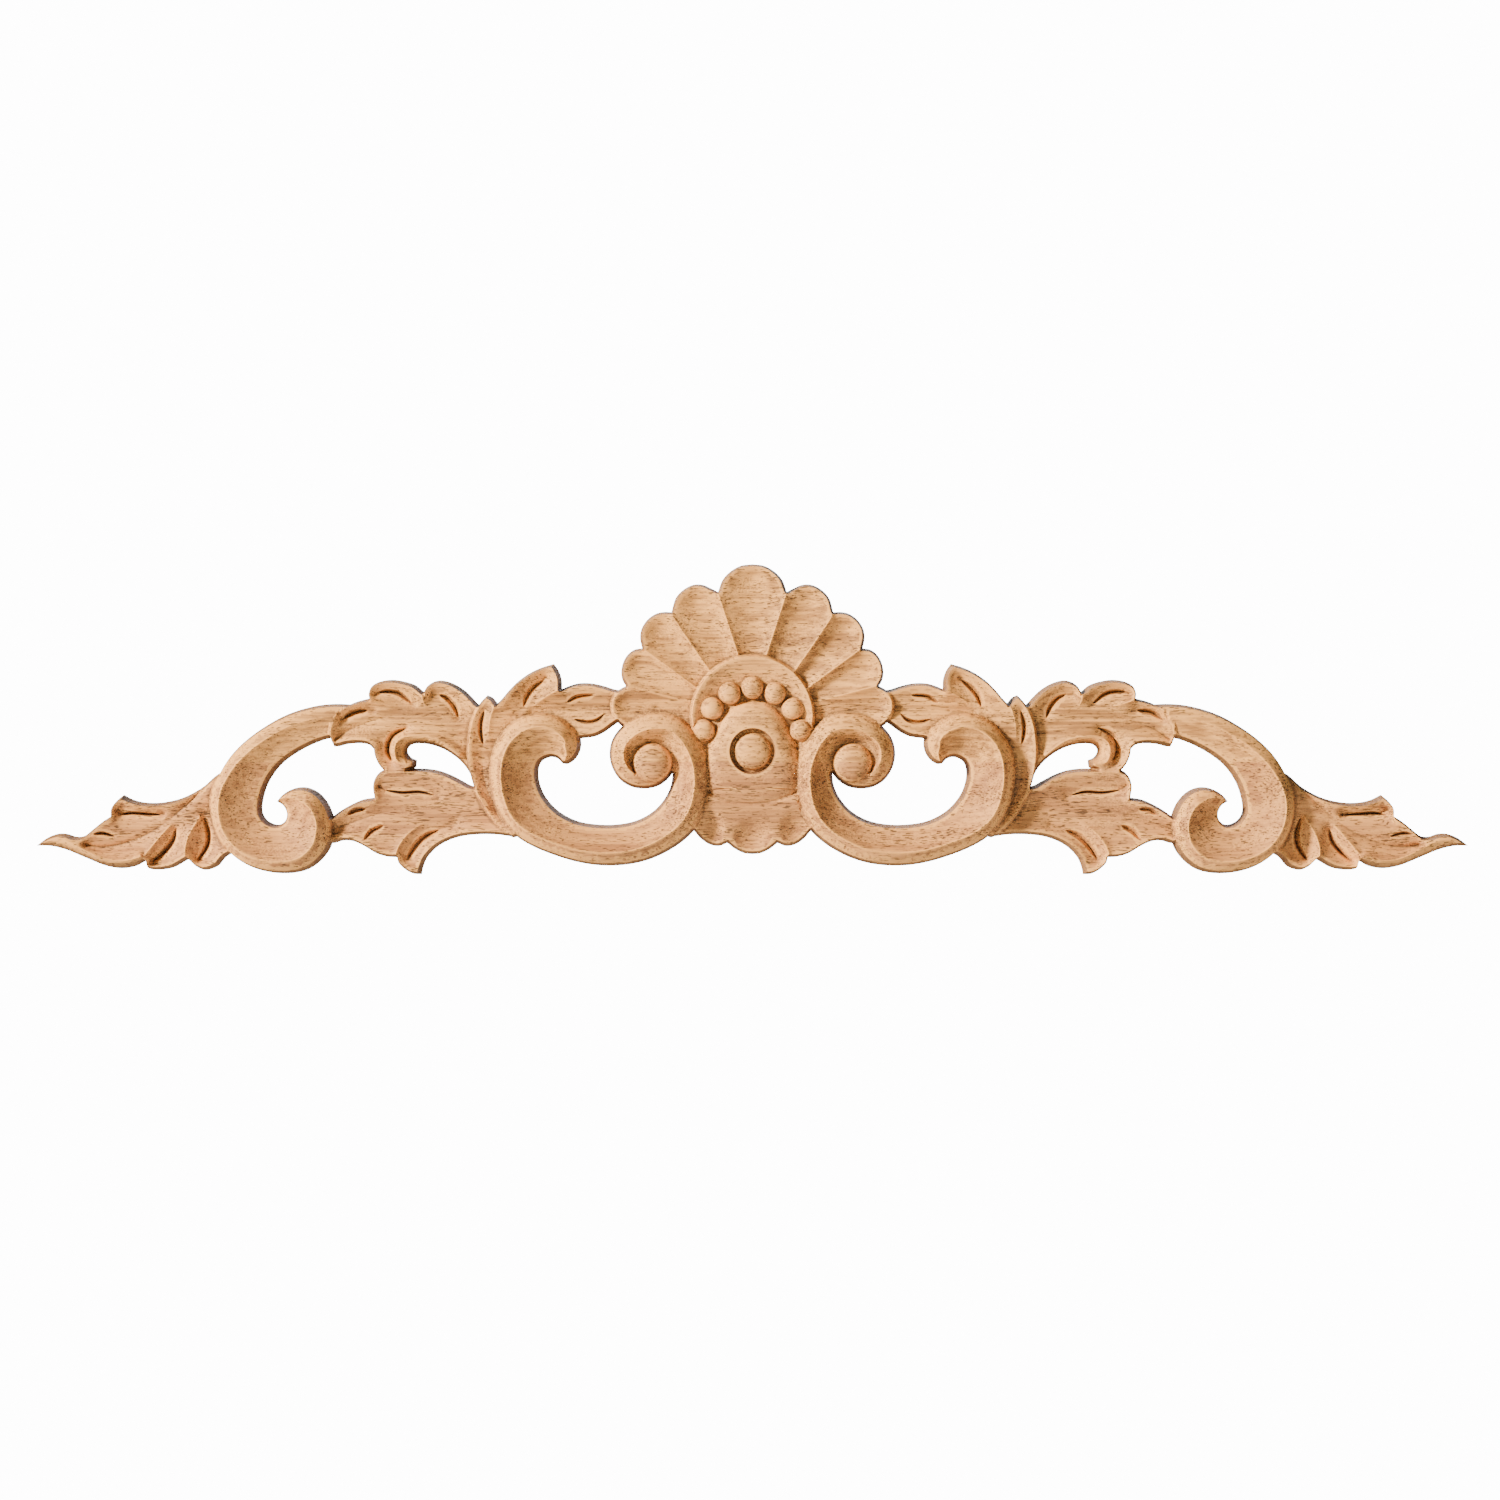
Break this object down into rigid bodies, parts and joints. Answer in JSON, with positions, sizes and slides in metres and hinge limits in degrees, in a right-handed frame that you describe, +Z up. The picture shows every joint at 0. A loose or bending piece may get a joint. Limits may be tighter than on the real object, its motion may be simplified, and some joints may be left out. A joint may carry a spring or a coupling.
{
  "type": "crown wood applique",
  "caption": "Long carved wooden onlay with a fluted shell over a beaded cartouche, C-scrolls and acanthus leaves on both sides, pierced, flat at the back, to fix on a cornice, door or cabinet.",
  "frame": {"origin": "on the flat back, in the middle of the length and of the height", "axes": "+X along the length, to the right for a person who faces the carving; +Z up; -Y out of the carved front, +Y into the wall"},
  "size_m": [0.5992, 0.017, 0.1298],
  "materials": {
    "bare_wood": "bare, sanded on the flats, fuzzy in the hollows"
  },
  "bodies": {
    "root": {"crown_applique": "bare_wood"}
  },
  "joints": []
}
